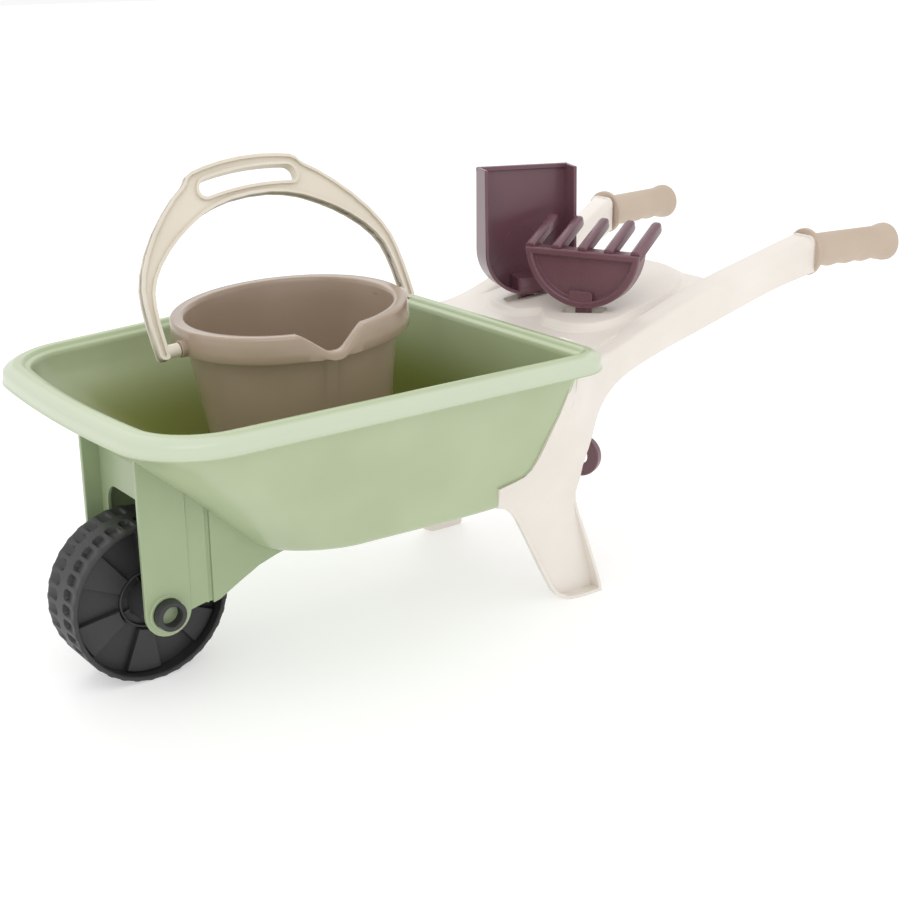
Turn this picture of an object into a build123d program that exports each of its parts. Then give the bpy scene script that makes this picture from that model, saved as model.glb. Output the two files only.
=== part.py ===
from build123d import *
import os
from math import atan, cos, degrees, radians, sin

# A child's plastic wheelbarrow with its bucket, shovel and rake.
# Millimetres.  While modelling, x = 0 and y = 0 are under the wheel's axle,
# +X runs back towards the grips, +Z is up and z = 0 is the ground.

# ---- fits ----------------------------------------------------------------
running_gap = 0.06       # radial, a pin turning in its hole
loose_gap = 0.4          # between parts that touch or lift off each other
wall = 3.0               # moulded wall thickness of the barrow's parts

# ---- wheel ---------------------------------------------------------------
wheel_radius = 65.2
wheel_width = 50.0
tread_thickness = 4.5
disc_recess = 13.0       # how far the wheel's disc lies below its side
stub_radius = 12.0       # hollow stub axle, one on each wheel half
stub_bore = 8.0
stub_overhang = 9.0      # the stub's length outside the fork
shoulder_radius = 16.0   # spacer between wheel and fork
spoke_pad_count = 5
spoke_pad_height = 5.0

# ---- fork, moulded with the tray -----------------------------------------
fork_half_width = 50.0
fork_wall = 4.0
fork_front = -18.0
fork_rear = 20.0
web_rear = 118.0
panel_front = -4.0       # the panel between the fork's cheeks
cutout_half_width = 36.0
cutout_clearance = 17.0  # above the wheel
cutout_corner = 16.0

# ---- tray ----------------------------------------------------------------
rim_front = -45.7
rim_rear = 329.5
rim_half_front = 158.0
rim_half_rear = 186.6
rim_bow = 11.0
rim_corner_front = 60.0
rim_corner_rear = 27.0
rim_height = 15.0
rim_width = 22.0
rim_level = 218.9        # underside of the rim above the axle
rim_slope = 0.033
floor_level = 87.3       # outer face of the floor above the axle
floor_slope = 0.07
floor_front = 98.0
floor_rear = 306.0
floor_bow = 14.0
floor_half_front = 90.0
floor_half_rear = 101.0
floor_corner = 45.0
heel_radius = 32.0       # round from the floor up into the rear wall
knee_level = 190.0       # where the walls turn steeper
knee_front = -7.0
knee_half_front = 124.0
knee_half_rear = 152.0

# ---- frame ---------------------------------------------------------------
leg_panel_foot = 99.0    # half width of the legs' outer face at the ground
leg_flange = 11.0        # depth of the channel along the leg's edges
foot_front = 352.0
foot_rear = 395.0
waist_level = 92.0
waist_x = 360.0
tongue_front = 277.0
arm_width = 31.0
grip_x = 600.0           # where the arm meets the grip
grip_half_width = 132.5
grip_level = 280.0
deck_hole_x = 422.0
deck_hole_y = 40.0
deck_level = 236.0       # top of the tool block at its holes
deck_slope = 0.22
deck_rear = 536.0
deck_front = 388.0
deck_half_width = 84.0
deck_step = 9.0
tool_slot_gap = 1.2      # round a tool's ring and shaft in the deck's slot
tool_rest = 3.2           # the tools' heads stand this far above the holes' centres
snap_half_width = 119.0

# ---- grips ---------------------------------------------------------------
grip_length = 100.0
grip_radius = 15.2
grip_end_radius = 17.0
grip_flange_radius = 21.0
grip_flange = 4.0
spigot_radius = 10.5
spigot_length = 84.0
grip_splay = 7.2         # degrees outwards

# ---- bucket --------------------------------------------------------------
bucket_x = 146.0         # centre of the rim
bucket_radius = 95.0
bucket_height = 172.8
bucket_base_radius = 65.0
bucket_neck_radius = 84.0
bucket_wall = 2.4
band_height = 20.0
spout_angle = -98.0
spout_half_width = 27.0
spout_depth = 15.0
ear_reach = 4.0          # the ears' length outside the band
pivot_drop = 14.0        # pivot below the rim
pin_radius = 4.0

# ---- bucket handle -------------------------------------------------------
bail_stand_off = 22.5    # its outer face outside the bucket's band
bail_height = 139.0
bail_depth = 10.0
bail_leg_width = 9.0
bail_lean = 25.5         # degrees from upright, towards +Y
hand_slot_half = 47.0
hand_slot_height = 15.5

# ---- tools ---------------------------------------------------------------
shaft_width = 13.0
shaft_depth = 9.0
ring_radius = 19.0
ring_hole = 8.0
ring_drop = 138.0        # ring centre below the deck's top
shovel_width = 92.0
shovel_height = 120.0
shovel_depth = 30.0
shovel_turn = -20.0
rake_radius = 54.0
rake_depth = 17.0
rake_turn = -65.0
tine_count = 5
tine_length = 38.0
tine_width = 9.0
tine_rise = 20.0         # degrees

axle_level = wheel_radius
grip_end_x = grip_x + grip_length * cos(radians(grip_splay))


def block(x0, x1, y0, y1, z0, z1):
    """A box given by its limits."""
    return Pos((x0 + x1) / 2, (y0 + y1) / 2, (z0 + z1) / 2) * Box(x1 - x0, y1 - y0, z1 - z0)


def side_cut(face, y0, y1):
    """A solid with an XZ outline, from y0 to y1."""
    return Pos(0, y1, 0) * extrude(Plane.XZ * face, y1 - y0, dir=(0, -1, 0))


def cross_cut(face, x0, x1):
    """A solid with a YZ outline, from x0 to x1."""
    return Pos(x0, 0, 0) * extrude(Plane.YZ * face, x1 - x0, dir=(1, 0, 0))


def layer(plane, face, low, high):
    """A plan face drawn on a plane, thickened from low to high above it."""
    return extrude(plane.offset(low) * face, high - low, dir=plane.z_dir)


def outline(points, radii):
    """A closed face with rounded corners."""
    return make_face(FilletPolyline(*points, radius=radii, close=True))


def sloping(level, slope):
    """A plane that rises with x, with its origin over the axle."""
    return Plane(origin=(0, 0, level), x_dir=(1, 0, slope), z_dir=(-slope, 0, 1))


def both_sides(shape):
    """The shape and its mirror image across the middle plane."""
    return shape + mirror(shape, Plane.XZ)


# ---- wheel ---------------------------------------------------------------
def wheel_half():
    """The half on the -Y side: tyre, recessed disc, spacer and hollow stub."""
    half = wheel_width / 2
    stub_end = fork_half_width + stub_overhang
    shoulder_end = fork_half_width - fork_wall - loose_gap
    core = half - disc_recess
    rings = [
        (wheel_radius - tread_thickness, wheel_radius, -half, 0),
        (stub_bore, wheel_radius - tread_thickness, -core, wall - core),
        (stub_bore, shoulder_radius, -shoulder_end, 0),
        (stub_bore, stub_radius, -stub_end, 0),
    ]
    faces = [Pos((r0 + r1) / 2, (y0 + y1) / 2) * Rectangle(r1 - r0, y1 - y0) for r0, r1, y0, y1 in rings]
    profile = faces[0] + faces[1] + faces[2] + faces[3]
    body = revolve(profile, Axis.Y, 360)
    pad_outer = wheel_radius - tread_thickness
    pad_inner = shoulder_radius + 8.0
    pad_arc = 180.0 / spoke_pad_count
    pad_face = Pos((pad_inner + pad_outer) / 2, -core - spoke_pad_height / 2)
    pad_face *= Rectangle(pad_outer - pad_inner, spoke_pad_height)
    for index in range(spoke_pad_count):
        pad = revolve(pad_face, Axis.Y, pad_arc)
        body += Rot(0, index * 360.0 / spoke_pad_count, 0) * pad
    return Pos(0, 0, axle_level) * body


# ---- tray ----------------------------------------------------------------
def quad(front, rear, half_front, half_rear, bow, corner_front, corner_rear):
    """A four-sided plan with rounded corners and a bowed front edge."""
    edges = [
        ThreePointArc((front, half_front), (front - bow, 0), (front, -half_front)),
        Line((front, -half_front), (rear, -half_rear)),
        Line((rear, -half_rear), (rear, half_rear)),
        Line((rear, half_rear), (front, half_front)),
    ]
    face = make_face(edges)
    corners = face.vertices().sort_by(Axis.X)
    face = fillet(corners[:2], corner_front)
    return fillet(face.vertices().sort_by(Axis.X)[-2:], corner_rear)


def rim_face(inset):
    return quad(
        rim_front + inset, rim_rear - inset, rim_half_front - inset, rim_half_rear - inset,
        rim_bow, rim_corner_front - inset, rim_corner_rear - inset * 0.9,
    )


def tub(inset, floor_lift):
    """The tub as a solid; its wall lies between two of these."""
    neck = rim_width - wall + inset
    floor_face = quad(
        floor_front + inset, floor_rear - inset, floor_half_front - inset, floor_half_rear - inset,
        floor_bow, floor_corner - inset, floor_corner / 3 - inset * 0.5,
    )
    knee_face = quad(
        knee_front + inset, rim_rear - rim_width + wall - inset, knee_half_front - inset,
        knee_half_rear - inset, floor_bow / 2, floor_corner - inset, floor_corner / 3 - inset * 0.5,
    )
    sections = [
        sloping(floor_level + floor_lift, floor_slope) * floor_face,
        sloping(knee_level, (floor_slope + rim_slope) / 2) * knee_face,
        sloping(rim_level, rim_slope) * rim_face(neck),
    ]
    shell = loft(sections, ruled=True)
    shell += layer(sloping(rim_level, rim_slope), rim_face(neck), 0, rim_height + (inset > 0) * wall)
    rear = rim_rear - rim_width + wall - inset
    low = floor_level + floor_lift
    guard = outline(
        [(-2 * wheel_radius, low - 2 * wheel_radius * floor_slope), (rear, low + rear * floor_slope),
         (rear, 2 * rim_level), (-2 * wheel_radius, 2 * rim_level)],
        [0, heel_radius - inset, 0, 0],
    )
    return shell & side_cut(guard, -2 * rim_half_rear, 2 * rim_half_rear)


def fork_cheek():
    """The cheek on the -Y side with its lobe round the axle and its rear web."""
    top = rim_level + rim_height / 2
    middle = (fork_front + fork_rear) / 2
    half_length = (fork_rear - fork_front) / 2
    lobe = Pos(middle, axle_level) * Circle(half_length)
    upright = Pos(middle, (top + axle_level) / 2) * Rectangle(2 * half_length, top - axle_level)
    cheek = side_cut(lobe + upright, -fork_half_width, fork_wall - fork_half_width)
    web_points = [
        (fork_rear - wall, axle_level - 5), (fork_rear + 15, axle_level - 1),
        (web_rear, floor_level + 6), (web_rear, floor_level + 30), (fork_rear - wall, top),
    ]
    web = side_cut(Polygon(*web_points, align=None), 1 - fork_half_width, 1 + wall - fork_half_width)
    hole = side_cut(
        Pos(0, axle_level) * Circle(stub_radius + running_gap), -fork_half_width - 1, fork_wall - fork_half_width + 1
    )
    return cheek + web - hole


def fork_panel():
    """The panel between the cheeks, open over the wheel."""
    top = rim_level + rim_height / 2
    inner = fork_half_width - fork_wall
    low = axle_level + shoulder_radius + 4
    panel = block(panel_front, panel_front + wall, -inner - 1, inner + 1, low, top)
    opening_top = 2 * wheel_radius + cutout_clearance
    points = [
        (-cutout_half_width, 0), (cutout_half_width, 0),
        (cutout_half_width, opening_top), (-cutout_half_width, opening_top),
    ]
    opening = outline(points, [0, 0, cutout_corner, cutout_corner])
    return panel - cross_cut(opening, panel_front - 1, panel_front + wall + 1)


def tray():
    plane = sloping(rim_level, rim_slope)
    rim = layer(plane, rim_face(0), 0, rim_height)
    rim -= layer(plane, rim_face(wall), 0, rim_height - wall)
    body = rim + tub(0, 0) + both_sides(fork_cheek()) + fork_panel()
    return body - tub(wall * 1.3, wall)


# ---- frame ---------------------------------------------------------------
def arm_station(x, y, z, width, height):
    """One upright section of an arm, on the -Y side."""
    face = RectangleRounded(width, height, min(width, height) * 0.35)
    return Plane(origin=(x, -y, z), x_dir=(0, 1, 0), z_dir=(1, 0, 0)) * face


def arm(inset):
    """An arm on the -Y side, from the tray's rear corner to the grip."""
    reach = grip_x - rim_rear
    spread = grip_half_width
    drop = grip_level
    stations = [
        (rim_rear - 9, spread + 14, drop - 93, arm_width + 6, 62),
        (rim_rear + reach * 0.10, spread + 2, drop - 88, arm_width + 4, 56),
        (rim_rear + reach * 0.27, spread - 22, drop - 76, arm_width + 2, 48),
        (rim_rear + reach * 0.42, spread - 28, drop - 59, arm_width, 43),
        (rim_rear + reach * 0.57, spread - 27, drop - 43, arm_width - 1, 39),
        (rim_rear + reach * 0.72, spread - 20, drop - 28, arm_width - 2, 36),
        (rim_rear + reach * 0.87, spread - 11, drop - 12, arm_width - 2, 34),
        (grip_x - loose_gap, spread, drop, arm_width - 2, 33),
    ]
    sections = []
    for x, y, z, width, height in stations:
        sections.append(arm_station(x, y, z, width - 2 * inset, height - 2 * inset))
    return loft(sections)


def leg_outline(inset):
    """The leg with its shoulder, seen from the side."""
    shoulder = floor_level + 110.0
    points = [
        (foot_front + inset * 1.4, inset), (foot_rear - inset, inset),
        (waist_x - inset, waist_level), (waist_x + 4 - inset, shoulder - 20),
        (waist_x + 24, shoulder), (rim_rear - 11, shoulder),
        (rim_rear - 13, floor_level + 60), (tongue_front + 24, floor_level + 34),
        (tongue_front, floor_level + 27), (tongue_front, floor_level + 13),
        (tongue_front + 16 + inset, floor_level + 8 - inset * 0.5),
    ]
    return outline(points, [6, 3, 20, 12, 0, 0, 10, 20, 0, 0, 14])


def leg():
    """The leg panel on the -Y side: upright below the waist, leaning out above it."""
    foot = leg_panel_foot
    top_level = floor_level + 110.0
    lean = (rim_half_rear - rim_width - floor_half_rear - 8) / (rim_level - waist_level)
    top = foot + lean * (top_level - waist_level)
    skin = [(-foot, 0), (-foot, waist_level), (-top, top_level),
            (wall - top, top_level), (wall - foot, waist_level), (wall - foot, 0)]
    panel = side_cut(leg_outline(0), -2 * foot, 0)
    panel &= cross_cut(Polygon(*skin, align=None), tongue_front - 5, foot_rear + 5)
    channel = [(-foot - leg_flange, 0), (-foot, waist_level), (wall - foot, waist_level), (wall - foot, 0)]
    edge = side_cut(leg_outline(0) - leg_outline(wall), -2 * foot, 0)
    edge &= cross_cut(Polygon(*channel, align=None), tongue_front - 5, foot_rear + 5)
    return panel + edge


def tool_slot(side, turn):
    """The space of a slot that a tool's ring and shaft drop through."""
    length = 2 * (ring_radius + tool_slot_gap)
    place = Pos(deck_hole_x, side * deck_hole_y, deck_level) * Rot(0, 0, turn)
    return place * Box(length, shaft_depth + 2 * tool_slot_gap, 60)


def deck():
    """The tool deck: a sloping plate with a raised hollow block and two slots."""
    low = sloping(deck_level - deck_step - deck_slope * deck_hole_x, deck_slope)
    start = rim_rear + 1
    plate_points = [(start, -118), (start + 60, -98), (deck_rear, -98), (deck_rear, 98), (start + 60, 98), (start, 118)]
    plate = layer(low, outline(plate_points, [0, 30, 40, 40, 30, 0]), -wall, 0)

    def block_face(inset):
        half = deck_half_width - inset
        points = [
            (deck_front + inset, -half), (deck_rear - inset, -half),
            (deck_rear - inset, half), (deck_front + inset, half),
        ]
        lobes = outline(points, [30 - inset, 66, 66, 30 - inset])
        dent = Pos(deck_front + inset - 6, 0) * Circle(12)
        return lobes - dent

    raised = layer(low, block_face(0), -wall, deck_step)
    under = layer(low, block_face(wall), -2 * wall, deck_step - wall)
    wall_x = rim_rear - rim_width + wall + 1
    wall_top = deck_level - deck_step + deck_slope * (start - deck_hole_x)
    bulkhead = block(wall_x, wall_x + wall, -104, 104, floor_level + 38, wall_top)
    ledge = block(wall_x, start + 8, -118, 118, wall_top - wall, wall_top)
    slots = tool_slot(1, shovel_turn) + tool_slot(-1, rake_turn)
    return plate + raised + bulkhead + ledge - slots - under


def grip_place():
    """From a grip's own frame, flange at its origin, to its place on the -Y side."""
    return Pos(grip_x, -grip_half_width, grip_level) * Rot(0, 0, -grip_splay)


def spigot():
    """The peg inside a grip, on the -Y side."""
    peg = Pos(spigot_length / 2 - 4, 0, 0) * Rot(0, 90, 0)
    return grip_place() * peg * Cylinder(spigot_radius, spigot_length + 8)


def grip_room():
    """The space of a grip's flange, which the arm stops short of."""
    slug = Pos(grip_flange_radius - loose_gap, 0, 0) * Rot(0, 90, 0)
    return grip_place() * slug * Cylinder(grip_flange_radius + 2, 2 * grip_flange_radius)


def snap_tab():
    """A hook that holds the tray's rear rim, on the -Y side."""
    rim_top = rim_level + rim_height + rim_slope * rim_rear
    foot_level = deck_level - deck_step + deck_slope * (rim_rear - deck_hole_x) - 2 * wall
    middle = -snap_half_width
    return block(rim_rear + loose_gap, rim_rear + 6, middle - 6, middle + 6, foot_level, rim_top - 4)


def frame():
    arms = arm(0)
    hollow = arm(wall) + Pos(0, 0, -wall * 3) * arm(wall)
    hollow &= block(rim_rear, grip_x - 12, -2 * grip_half_width, 0, 0, 2 * grip_level)
    side = arms - hollow - grip_room() + spigot() + leg() + snap_tab()
    body = both_sides(side) + deck()
    clearance = tub(-loose_gap, -loose_gap)
    plane = sloping(rim_level, rim_slope)
    clearance += layer(plane, rim_face(-loose_gap / 2), 0, rim_height + 40)
    return body - clearance


# ---- grips ---------------------------------------------------------------
def grip():
    """A grip on the -Y side: flange, body, flared closed end."""
    bore = spigot_radius + running_gap
    points = [
        (0, bore), (0, grip_flange_radius), (grip_flange, grip_flange_radius),
        (grip_flange + 2, grip_radius), (grip_length - 12, grip_radius),
        (grip_length - 5, grip_end_radius), (grip_length, grip_end_radius),
        (grip_length, 0), (spigot_length + loose_gap, 0), (spigot_length + loose_gap, bore),
    ]
    body = revolve(Polygon(*points, align=None), Axis.X, 360)
    return grip_place() * body


# ---- bucket --------------------------------------------------------------
def bucket_place():
    """From the bucket's own frame, base centre up, to its place on the tray floor."""
    tilt = atan(floor_slope)
    rise = wall + loose_gap
    base_x = bucket_x + bucket_height * sin(tilt)
    base_z = floor_level + floor_slope * base_x + rise / cos(tilt)
    return Pos(base_x, 0, base_z) * Rot(0, -degrees(tilt), 0)


def bucket():
    neck = bucket_height - band_height
    lip_inner = bucket_neck_radius - bucket_wall - 0.6
    points = [
        (0, 0), (bucket_base_radius, 0), (bucket_neck_radius, neck),
        (bucket_neck_radius, bucket_height - bucket_wall),
        (bucket_radius - bucket_wall, bucket_height - bucket_wall),
        (bucket_radius - bucket_wall, neck), (bucket_radius, neck),
        (bucket_radius, bucket_height), (lip_inner, bucket_height),
        (lip_inner, neck), (bucket_base_radius - bucket_wall, bucket_wall), (0, bucket_wall),
    ]
    body = revolve(Plane.XZ * Polygon(*points, align=None), Axis.Z, 360)
    level = bucket_height - pivot_drop
    ear_length = bucket_radius - bucket_neck_radius + ear_reach
    ear = Pos(bucket_neck_radius + ear_length / 2, 0, level) * Rot(0, 90, 0) * Cylinder(1.7 * pin_radius, ear_length)
    bore = Pos(bucket_radius + ear_reach / 2, 0, level) * Rot(0, 90, 0)
    bore *= Cylinder(pin_radius + running_gap, ear_reach + 4)
    body += ear + mirror(ear, Plane.YZ)
    body -= bore + mirror(bore, Plane.YZ)
    notch = Polygon(
        (-spout_half_width, bucket_height + 1), (0, bucket_height - spout_depth),
        (spout_half_width, bucket_height + 1), align=None,
    )
    spout = Rot(0, 0, spout_angle + 90) * side_cut(notch, -bucket_radius - 1, -bucket_neck_radius / 2)
    return body - spout


# ---- bucket handle -------------------------------------------------------
def bail():
    """The arch in its own frame: pivots on the x axis, hand slot at the top."""
    outer = bucket_radius + bail_stand_off
    high = bail_height
    band = bail_leg_width
    left = [(-outer, -6), (-outer, 14), (-outer + 6, 54), (-outer * 0.6, high * 0.79), (-hand_slot_half - 5, high - 12)]
    top = [(-20, high), (20, high)]
    right = [(-x, z) for x, z in reversed(left)]
    inner_right = [(outer - band, -6), (outer - band, 14), (outer - 16, 50), (outer * 0.45, 92), (18, high * 0.755)]
    inner_left = [(-x, z) for x, z in reversed(inner_right)]
    radii = [4, 30, 30, 60, 20, 60, 60, 20, 60, 30, 30, 4, 0, 30, 12, 50, 60, 60, 50, 12, 30, 0]
    arch = outline(left + top + right + inner_right + inner_left, radii)
    slot = Pos(0, high - 19) * RectangleRounded(2 * hand_slot_half, hand_slot_height, hand_slot_height / 2 - 0.5)
    body = side_cut(arch - slot, -bail_depth / 2, bail_depth / 2)
    boss_start = bucket_radius + ear_reach + loose_gap
    pin_start = bucket_radius + 0.5
    boss = Pos((boss_start + outer - band) / 2 + 1, 0, 0) * Rot(0, 90, 0)
    boss *= Cylinder(1.4 * pin_radius, outer - band - boss_start + 2)
    pin = Pos((pin_start + outer - band) / 2 + 1, 0, 0) * Rot(0, 90, 0)
    pin *= Cylinder(pin_radius, outer - band - pin_start + 2)
    fittings = boss + pin
    return body + fittings + mirror(fittings, Plane.YZ)


def bucket_handle():
    level = bucket_height - pivot_drop
    return bucket_place() * Pos(0, 0, level) * Rot(-bail_lean, 0, 0) * bail()


# ---- tools ---------------------------------------------------------------
def tool_shaft(top):
    """The shaft through the deck with its hanging ring, from z = top down."""
    shaft = block(-shaft_width / 2, shaft_width / 2, -shaft_depth / 2, shaft_depth / 2, ring_hole + 2 - ring_drop, top)
    ring = Circle(ring_radius) - Circle(ring_hole)
    return shaft + side_cut(Pos(0, -ring_drop) * ring, -shaft_depth / 2, shaft_depth / 2)


def shovel_body():
    half = shovel_width / 2
    scoop_top = shovel_height

    def scoop(inset, top):
        width = half - inset
        points = [(-width, top), (-width, inset), (width, inset), (width, top)]
        return outline(points, [0, width - 1, width - 1, 0])

    front = -shovel_depth / 2
    body = side_cut(scoop(0, scoop_top), front, front + shovel_depth)
    body -= side_cut(scoop(wall, scoop_top + 5), front - 1, front + shovel_depth - wall)
    socket = block(-13, 13, front, -front, wall / 2, 21)
    return body + socket + tool_shaft(wall)


def rake_body():
    front = -rake_depth / 2
    top = rake_radius + 6

    def plate(inset):
        radius = rake_radius - inset
        disc = Pos(0, rake_radius) * Circle(radius)
        keep = Pos(0, top / 2) * Rectangle(3 * rake_radius, top - 2 * inset)
        return disc & keep

    body = side_cut(plate(0), front, -front)
    body -= side_cut(plate(6), front - 1, -front - 4)
    pitch = (2 * rake_radius - tine_width) / (tine_count - 1)
    for index in range(tine_count):
        x = -rake_radius + tine_width / 2 + index * pitch
        root = rake_depth - 2
        tine = block(-tine_width / 2, tine_width / 2, -root, tine_length, -9, 0)
        body += Pos(x, -front, top) * Rot(tine_rise, 0, 0) * tine
    socket = block(-9, 9, front, -front, 2, 16)
    return body + socket + tool_shaft(4)


def tool_place(side, turn):
    return Pos(deck_hole_x, side * deck_hole_y, deck_level + tool_rest) * Rot(0, 0, turn)


# ---- assembly ------------------------------------------------------------
def mirrored(shape):
    return mirror(shape, Plane.XZ)


nodes = {
    "tray": tray(),
    "frame": frame(),
    "grip_near": grip(),
    "grip_far": mirrored(grip()),
    "wheel_half_near": wheel_half(),
    "wheel_half_far": mirrored(wheel_half()),
    "bucket": bucket_place() * bucket(),
    "bucket_handle": bucket_handle(),
    "shovel": tool_place(1, shovel_turn) * shovel_body(),
    "rake": tool_place(-1, rake_turn) * rake_body(),
}

boxes = [shape.bounding_box() for shape in nodes.values()]
middle_x = (min(box.min.X for box in boxes) + max(box.max.X for box in boxes)) / 2

os.makedirs("parts", exist_ok=True)
for name, shape in nodes.items():
    export_step(Pos(-middle_x, 0, 0) * shape, "parts/" + name + ".step")
print("origin moved back by", round(middle_x, 3))
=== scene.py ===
from math import asin, atan, cos, hypot, pi, radians, sin, sqrt, tan

import bmesh
import bpy
from mathutils import Matrix, Vector


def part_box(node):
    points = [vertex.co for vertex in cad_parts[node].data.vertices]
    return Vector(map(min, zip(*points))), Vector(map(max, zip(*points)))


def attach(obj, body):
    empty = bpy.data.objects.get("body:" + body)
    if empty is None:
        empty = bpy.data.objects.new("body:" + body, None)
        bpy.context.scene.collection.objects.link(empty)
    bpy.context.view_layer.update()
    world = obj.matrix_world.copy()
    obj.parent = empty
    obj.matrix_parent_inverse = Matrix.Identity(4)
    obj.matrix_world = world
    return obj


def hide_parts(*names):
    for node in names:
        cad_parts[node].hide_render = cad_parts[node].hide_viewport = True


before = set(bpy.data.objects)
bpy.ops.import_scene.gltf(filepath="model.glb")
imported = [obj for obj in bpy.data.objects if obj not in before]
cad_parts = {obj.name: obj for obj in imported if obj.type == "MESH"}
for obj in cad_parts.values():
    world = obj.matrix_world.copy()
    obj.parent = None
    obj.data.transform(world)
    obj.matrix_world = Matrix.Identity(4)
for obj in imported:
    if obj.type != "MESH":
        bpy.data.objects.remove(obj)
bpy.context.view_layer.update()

# A child's plastic wheelbarrow with its bucket, shovel and rake.
# Shapes are drawn in millimetres from the ground under the axle, +X back to
# the grips and +Z up, and are moved into the frame when a piece is finished.

MM = 0.001

wheel_low, wheel_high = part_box("wheel_half_near")
axle_x = (wheel_low.x + wheel_high.x) / 2
to_frame = Matrix.Translation((axle_x, 0, 0)) @ Matrix.Scale(MM, 4)


def drawn_box(node):
    """A CAD node's lowest and highest corner in drawing millimetres."""
    low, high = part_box(node)
    shift = Vector((axle_x, 0, 0))
    return (low - shift) / MM, (high - shift) / MM


tray_low, tray_high = drawn_box("tray")


# ---- small helpers -------------------------------------------------------
def smooth(low, high, value):
    """0 below low, 1 above high and an easy curve between."""
    t = min(max((value - low) / (high - low), 0.0), 1.0)
    return t * t * (3 - 2 * t)


def mix(a, b, t):
    return a + (b - a) * t


def softer(a, b, width):
    """The smaller of two values, with the change between them rounded."""
    h = min(max(0.5 + (b - a) / (2 * width), 0.0), 1.0)
    return mix(b, a, h) - width * h * (1 - h)


def through(stations, x):
    """A smooth curve through (x, value) stations."""
    if x <= stations[0][0]:
        return stations[0][1]
    if x >= stations[-1][0]:
        return stations[-1][1]
    i = max(k for k in range(len(stations) - 1) if stations[k][0] <= x)
    (x0, v0), (x1, v1) = stations[i], stations[i + 1]
    last = len(stations) - 1
    before, after = stations[max(i - 1, 0)], stations[min(i + 2, last)]
    slope0 = (v1 - before[1]) / (x1 - before[0])
    slope1 = (after[1] - v0) / (after[0] - x0)
    t = (x - x0) / (x1 - x0)
    span = x1 - x0
    return (
        (2 * t**3 - 3 * t**2 + 1) * v0 + (t**3 - 2 * t**2 + t) * span * slope0
        + (3 * t**2 - 2 * t**3) * v1 + (t**3 - t**2) * span * slope1
    )


def rounded(corners, radii, steps=6, between=0):
    """A closed outline whose corners are arcs, with extra points on its sides."""
    arcs = []
    count = len(corners)
    for i, corner in enumerate(corners):
        corner = Vector(corner)
        back = Vector(corners[i - 1]) - corner
        ahead = Vector(corners[(i + 1) % count]) - corner
        if not radii[i]:
            arcs.append([corner])
            continue
        back.normalize()
        ahead.normalize()
        half = back.angle(ahead) / 2
        centre = corner + (back + ahead).normalized() * radii[i] / sin(half)
        start = corner + back * radii[i] / tan(half) - centre
        turn = pi - 2 * half
        if start.y * back.x - start.x * back.y < 0:
            turn = -turn
        arc = []
        for k in range(steps + 1):
            a = turn * k / steps
            arc.append(
                centre + Vector((start.x * cos(a) - start.y * sin(a), start.x * sin(a) + start.y * cos(a)))
            )
        arcs.append(arc)
    points = []
    for i, arc in enumerate(arcs):
        points += arc
        goal = arcs[(i + 1) % count][0]
        points += [arc[-1].lerp(goal, k / (between + 1)) for k in range(1, between + 1)]
    return points


def arc_line(points, radii, steps=5):
    """An open line with rounded bends."""
    return rounded(points, [0] + list(radii) + [0], steps)


# ---- bmesh helpers -------------------------------------------------------
def ring(bm, places):
    """A closed ring of edges on the given places."""
    made = bmesh.ops.create_circle(bm, segments=len(places), radius=1.0)["verts"]
    walk = [made[0]]
    while len(walk) < len(made):
        edge = next(e for e in walk[-1].link_edges if e.other_vert(walk[-1]) not in walk[-2:])
        walk.append(edge.other_vert(walk[-1]))
    for vert, place in zip(walk, places):
        vert.co = place
    return walk


def round_edges(bm, loop):
    """The edges of a closed ring of verts."""
    return [bm.edges.get(pair) for pair in zip(loop, loop[1:] + loop[:1])]


def grow(bm, start, places):
    """Extrudes a ring of edges and sets the new ring on the given places."""
    made = bmesh.ops.extrude_edge_only(bm, edges=round_edges(bm, start))["geom"]
    fresh = {g for g in made if isinstance(g, bmesh.types.BMVert)}
    new = []
    for vert, place in zip(start, places):
        twin = next(e.other_vert(vert) for e in vert.link_edges if e.other_vert(vert) in fresh)
        twin.co = place
        new.append(twin)
    return new


def skin(bm, rings, joined=False):
    """A tube through rings of places, closed with flat caps or joined end to start."""
    first = ring(bm, rings[0])
    last = first
    for places in rings[1:]:
        last = grow(bm, last, places)
    if joined:
        bmesh.ops.bridge_loops(bm, edges=round_edges(bm, first) + round_edges(bm, last))
        return
    for loop in (first, last):
        bmesh.ops.edgeloop_fill(bm, edges=round_edges(bm, loop))


def side_plate(bm, outline, y0, y1):
    """A plate with an outline seen from the side, from y0 to y1."""
    skin(bm, [[Vector((x, y, z)) for x, z in outline] for y in (y0, y1)])


def turned(bm, profile, axis, centre, steps):
    """Spins a profile of (distance from the axis, place along it) into a closed body of revolution."""
    across = Vector((0, 0, 1)) if axis.z == 0 else Vector((1, 0, 0))
    verts = [bm.verts.new(centre + axis * along + across * out) for out, along in profile]
    edges = [bm.edges.new(pair) for pair in zip(verts, verts[1:])]
    before = set(bm.verts) - set(verts)
    bmesh.ops.spin(
        bm, geom=verts + edges, cent=centre, axis=axis, angle=2 * pi, steps=steps, use_merge=True,
        use_duplicate=False
    )
    made = [v for v in bm.verts if v not in before]
    bmesh.ops.remove_doubles(bm, verts=made, dist=0.002)
    return [v for v in bm.verts if v not in before]


def pin(bm, start, end, radius, steps=24):
    """A round pin between two points."""
    line = end - start
    turn = line.to_track_quat("Z", "Y").to_matrix().to_4x4()
    bmesh.ops.create_cone(
        bm, cap_ends=True, segments=steps, radius1=radius, radius2=radius, depth=line.length,
        matrix=Matrix.Translation((start + end) / 2) @ turn,
    )


def mirrored_copy(bm):
    """Adds the same shape on the other side of the middle plane."""
    bmesh.ops.mirror(
        bm, geom=bm.verts[:] + bm.edges[:] + bm.faces[:], matrix=Matrix(), merge_dist=-1, axis="Y",
    )


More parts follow.
